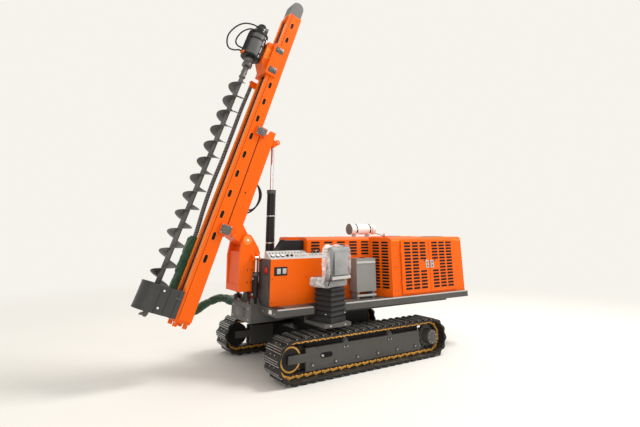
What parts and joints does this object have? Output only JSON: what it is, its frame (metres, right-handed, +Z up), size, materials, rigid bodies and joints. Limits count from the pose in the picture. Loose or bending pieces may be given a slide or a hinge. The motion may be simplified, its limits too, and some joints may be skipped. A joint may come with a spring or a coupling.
{
  "type": "crawler pile driver rig with an auger",
  "caption": "Tracked piling and drilling rig: a tilting mast with a driven auger head on a deck with an engine housing, control console and operator seat.",
  "frame": {"origin": "bottom centre of the bounding box at rest, on the ground under the tracks", "axes": "+X forward to the mast, +Y left, +Z up"},
  "size_m": [5.3966, 2.1646, 5.8897],
  "materials": {
    "orange": "gloss orange enamel",
    "charcoal": "satin charcoal paint",
    "black": "satin black paint",
    "track_steel": "dark steel, bright where worn",
    "ochre": "yellow ochre primer and grease",
    "light_grey": "light grey paint",
    "seat_grey": "grey cloth",
    "bellows": "black rubber",
    "chrome": "polished",
    "engine": "dull",
    "hose": "black rubber",
    "sleeve": "dark green woven sleeve"
  },
  "bodies": {
    "chassis": {"air_cleaner": "light_grey", "car_body": "black", "console_body": "charcoal", "console_side_panel": "orange", "control_hood": "black", "deck": "charcoal", "deck_hose_sleeve": "sleeve", "engine_block": "engine", "fuel_tank": "light_grey", "gauge_panel": "light_grey", "housing_roof": "orange", "left_front_hood": "orange", "left_idler": "ochre", "left_side_frame": "charcoal", "left_side_wall": "orange", "left_sprocket": "charcoal", "left_track": "track_steel", "middle_front_hood": "orange", "oil_tank": "light_grey", "rear_wall": "orange", "right_front_hood": "orange", "right_idler": "ochre", "right_side_frame": "charcoal", "right_side_wall": "orange", "right_sprocket": "charcoal", "right_track": "track_steel", "roll_bracket": "charcoal", "seat_back": "seat_grey", "seat_bellows": "bellows", "seat_bracket": "charcoal", "seat_cushion": "seat_grey"},
    "fork": {"mast_fork": "orange"},
    "left_roll_barrel": {"left_roll_barrel": "black"},
    "left_roll_rod": {"left_roll_rod": "chrome"},
    "right_roll_barrel": {"right_roll_barrel": "black"},
    "right_roll_rod": {"right_roll_rod": "chrome"},
    "lift_barrel": {"lift_barrel": "black"},
    "lift_rod": {"lift_rod": "chrome"},
    "carrier": {"mast_carrier": "orange", "lower_slide_clamp": "charcoal", "upper_slide_clamp": "charcoal", "carrier_hose_1": "hose", "carrier_hose_2": "hose"},
    "mast": {"mast": "orange", "mast_cap": "charcoal", "feed_chain": "ochre", "auger_guide": "charcoal", "mast_hose_bundle": "hose", "mast_hose_sleeve": "sleeve"},
    "head": {"head_carriage": "orange", "rotary_head": "charcoal", "head_motor": "black", "head_hose_1": "hose", "head_hose_2": "hose"},
    "auger": {"auger": "charcoal"},
    "left_front_door": {"left_front_door": "orange"},
    "left_rear_door": {"left_rear_door": "orange"},
    "right_front_door": {"right_front_door": "orange"},
    "right_rear_door": {"right_rear_door": "orange"}
  },
  "joints": [
    {"name": "mast_roll", "type": "hinge", "parent": "chassis", "child": "fork", "pos_m": [1.01465, -0.03231, 0.935], "axis": [1, 0, 0], "range_deg": [-8, 8]},
    {"name": "left_roll_barrel_swing", "type": "hinge", "parent": "chassis", "child": "left_roll_barrel", "pos_m": [1.12965, 0.25969, 0.905], "axis": [1, 0, 0], "range_deg": [-9, 9]},
    {"name": "left_roll_rod_slide", "type": "slide", "parent": "left_roll_barrel", "child": "left_roll_rod", "axis": [0, 0, 1], "range_m": [-0.06, 0.06]},
    {"name": "right_roll_barrel_swing", "type": "hinge", "parent": "chassis", "child": "right_roll_barrel", "pos_m": [1.12965, -0.32431, 0.905], "axis": [1, 0, 0], "range_deg": [-9, 9]},
    {"name": "right_roll_rod_slide", "type": "slide", "parent": "right_roll_barrel", "child": "right_roll_rod", "axis": [0, 0, 1], "range_m": [-0.06, 0.06]},
    {"name": "mast_tilt", "type": "hinge", "parent": "fork", "child": "carrier", "pos_m": [1.24965, -0.03231, 1.703], "axis": [0, 1, 0], "range_deg": [-62, 22]},
    {"name": "lift_barrel_swing", "type": "hinge", "parent": "fork", "child": "lift_barrel", "pos_m": [0.77465, -0.03231, 1.25], "axis": [0, 1, 0], "range_deg": [-58, 21]},
    {"name": "lift_rod_slide", "type": "slide", "parent": "lift_barrel", "child": "lift_rod", "axis": [-0.0001, 0, 1], "range_m": [-0.68, 0.25]},
    {"name": "mast_slide", "type": "slide", "parent": "carrier", "child": "mast", "axis": [-0.314, 0, 0.9494], "range_m": [-0.35, 0.45], "deforming": ["deck_hose_sleeve"]},
    {"name": "head_feed", "type": "slide", "parent": "mast", "child": "head", "axis": [-0.314, 0, 0.9494], "range_m": [-3.2, 0.55]},
    {"name": "auger_spin", "type": "hinge", "parent": "head", "child": "auger", "pos_m": [2.13262, -0.03231, 1.99501], "axis": [-0.314, 0, 0.9494], "continuous": true},
    {"name": "left_front_door_hinge", "type": "hinge", "parent": "chassis", "child": "left_front_door", "pos_m": [-1.18555, 0.78569, 1.2875], "axis": [0, 0, -1], "range_deg": [0, 110]},
    {"name": "left_rear_door_hinge", "type": "hinge", "parent": "chassis", "child": "left_rear_door", "pos_m": [-2.46015, 0.78569, 1.2875], "axis": [0, 0, 1], "range_deg": [0, 110]},
    {"name": "right_front_door_hinge", "type": "hinge", "parent": "chassis", "child": "right_front_door", "pos_m": [-1.18555, -0.85031, 1.2875], "axis": [0, 0, 1], "range_deg": [0, 110]},
    {"name": "right_rear_door_hinge", "type": "hinge", "parent": "chassis", "child": "right_rear_door", "pos_m": [-2.46015, -0.85031, 1.2875], "axis": [0, 0, -1], "range_deg": [0, 110]}
  ],
  "couplings": [
    {"joint": "left_roll_barrel_swing", "follows": "mast_roll", "ratio": 0.945},
    {"joint": "left_roll_rod_slide", "follows": "mast_roll", "m_per_rad": 0.295},
    {"joint": "right_roll_barrel_swing", "follows": "mast_roll", "ratio": 0.945},
    {"joint": "right_roll_rod_slide", "follows": "mast_roll", "m_per_rad": -0.295},
    {"joint": "lift_barrel_swing", "follows": "mast_tilt", "ratio": 0.835},
    {"joint": "lift_rod_slide", "follows": "mast_tilt", "m_per_rad": 0.565}
  ]
}
